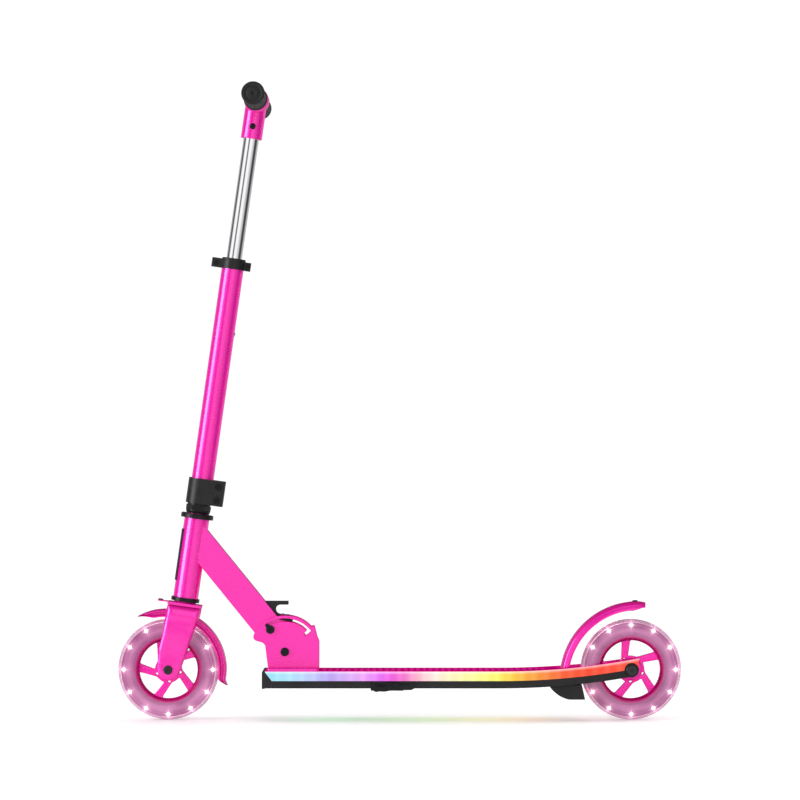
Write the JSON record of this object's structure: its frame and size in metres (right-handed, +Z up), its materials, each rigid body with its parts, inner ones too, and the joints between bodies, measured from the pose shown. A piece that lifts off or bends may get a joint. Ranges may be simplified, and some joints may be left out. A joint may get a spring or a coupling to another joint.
{
  "type": "kick scooter",
  "caption": "Folding kick scooter for a child: tall height-adjustable T-bar, lit wheels, slim deck with light strips, sprung rear fender brake and a folding stem joint.",
  "frame": {"origin": "on the ground under the middle of the scooter, halfway between the axles", "axes": "+Z up, +X towards the rear, +Y towards the rider's right"},
  "size_m": [0.8116, 0.345, 0.909],
  "materials": {
    "tyre_clear": "clear cast polyurethane",
    "light_core": "translucent core, lit from inside",
    "led_white": "white light-emitting lens",
    "pink_paint": "gloss pink powder coat",
    "pink_plastic": "gloss pink moulding",
    "black_plastic": "fine satin texture",
    "black_metal": "black oxide",
    "chrome_tube": "bright plated",
    "grip_rubber": "soft matte",
    "bearing_steel": "ground",
    "button_steel": "plain",
    "light_strip": "milky diffuser, rainbow lit",
    "circuit_green": "coated board",
    "cell_steel": "sleeved cell",
    "brake_steel": "stamped"
  },
  "bodies": {
    "deck": {"left_fold_bracket": "pink_paint", "right_fold_bracket": "pink_paint", "base_plate": "pink_paint", "fold_pivot_bolt": "black_metal", "deck_chassis": "pink_paint", "left_light_strip": "light_strip", "right_light_strip": "light_strip", "left_side_rail": "black_plastic", "right_side_rail": "black_plastic", "circuit_boards": "circuit_green", "bottom_tray": "black_plastic", "front_cap": "black_plastic", "battery_box": "black_plastic", "batteries": "cell_steel", "rear_axle_bolt": "black_metal", "kickstand_bracket": "black_metal", "brake_pin": "bearing_steel"},
    "stem_frame": {"head_tube": "pink_paint", "down_tube": "pink_paint", "head_badge": "black_plastic", "upper_headset_cup": "black_metal", "lower_headset_cup": "black_metal", "headset_bearings": "bearing_steel", "fold_lock_pin": "black_metal"},
    "release_lever": {"release_lever": "black_plastic"},
    "steering": {"outer_stem_tube": "pink_paint", "height_collar": "black_plastic", "collar_screws": "black_metal", "stem_clamp": "black_plastic", "stem_clamp_bolts": "black_metal", "headset_lock_nut": "black_metal", "fork_crown": "pink_paint", "left_fork_leg": "pink_paint", "right_fork_leg": "pink_paint", "steerer_tube": "pink_paint", "front_fender": "pink_plastic", "front_fender_screw": "black_metal", "front_axle_bolt": "black_metal"},
    "height_button": {"height_button": "button_steel"},
    "handlebar": {"tee_handlebar": "pink_paint", "left_grip": "grip_rubber", "right_grip": "grip_rubber", "tee_bolt": "black_metal", "inner_stem_tube": "chrome_tube", "inner_stem_bushing": "black_plastic"},
    "front_wheel": {"front_tyre": "tyre_clear", "front_light_core": "light_core", "front_wheel_leds": "led_white", "front_rim": "pink_plastic", "front_wheel_bearings": "bearing_steel"},
    "rear_wheel": {"rear_tyre": "tyre_clear", "rear_light_core": "light_core", "rear_wheel_leds": "led_white", "rear_rim": "pink_plastic", "rear_wheel_bearings": "bearing_steel"},
    "rear_brake": {"rear_fender": "pink_plastic", "brake_pad": "brake_steel", "brake_screw": "black_metal"},
    "kickstand": {"kickstand_leg": "black_metal"},
    "power_button": {"power_button": "black_plastic"}
  },
  "joints": [
    {"name": "fold", "type": "hinge", "parent": "deck", "child": "stem_frame", "pos_m": [-0.1653, 0, 0.0985], "axis": [0, 1, 0], "range_deg": [0, 83]},
    {"name": "steer", "type": "hinge", "parent": "stem_frame", "child": "steering", "pos_m": [-0.30092, 0, 0.23088], "axis": [0.1418, 0, 0.9899], "continuous": true},
    {"name": "bar_height", "type": "slide", "parent": "steering", "child": "handlebar", "axis": [0.1418, 0, 0.9899], "range_m": [-0.1, 0]},
    {"name": "height_button_press", "type": "slide", "parent": "steering", "child": "height_button", "axis": [-0.9899, 0, 0.1418], "range_m": [0, 0.003], "stiffness_N_per_m": 900, "springref_m": -0.002},
    {"name": "front_wheel_spin", "type": "hinge", "parent": "steering", "child": "front_wheel", "pos_m": [-0.3333, 0, 0.0725], "axis": [0, 1, 0], "continuous": true},
    {"name": "rear_wheel_spin", "type": "hinge", "parent": "deck", "child": "rear_wheel", "pos_m": [0.3333, 0, 0.0725], "axis": [0, 1, 0], "continuous": true},
    {"name": "rear_brake_press", "type": "hinge", "parent": "deck", "child": "rear_brake", "pos_m": [0.237, 0, 0.0665], "axis": [0, 1, 0], "range_deg": [0, 6.5], "stiffness_Nm_per_rad": 4, "springref_deg": -8.59},
    {"name": "release_lever_press", "type": "hinge", "parent": "stem_frame", "child": "release_lever", "pos_m": [-0.16803, 0, 0.14809], "axis": [0, 1, 0], "range_deg": [0, 12], "stiffness_Nm_per_rad": 0.4, "springref_deg": -17.19},
    {"name": "kickstand_swing", "type": "hinge", "parent": "deck", "child": "kickstand", "pos_m": [-0.033, -0.0559, 0.0506], "axis": [0, 1, 0], "range_deg": [0, 60]},
    {"name": "power_button_press", "type": "slide", "parent": "deck", "child": "power_button", "axis": [0, 0, 1], "range_m": [0, 0.001], "stiffness_N_per_m": 800, "springref_m": -0.001}
  ]
}
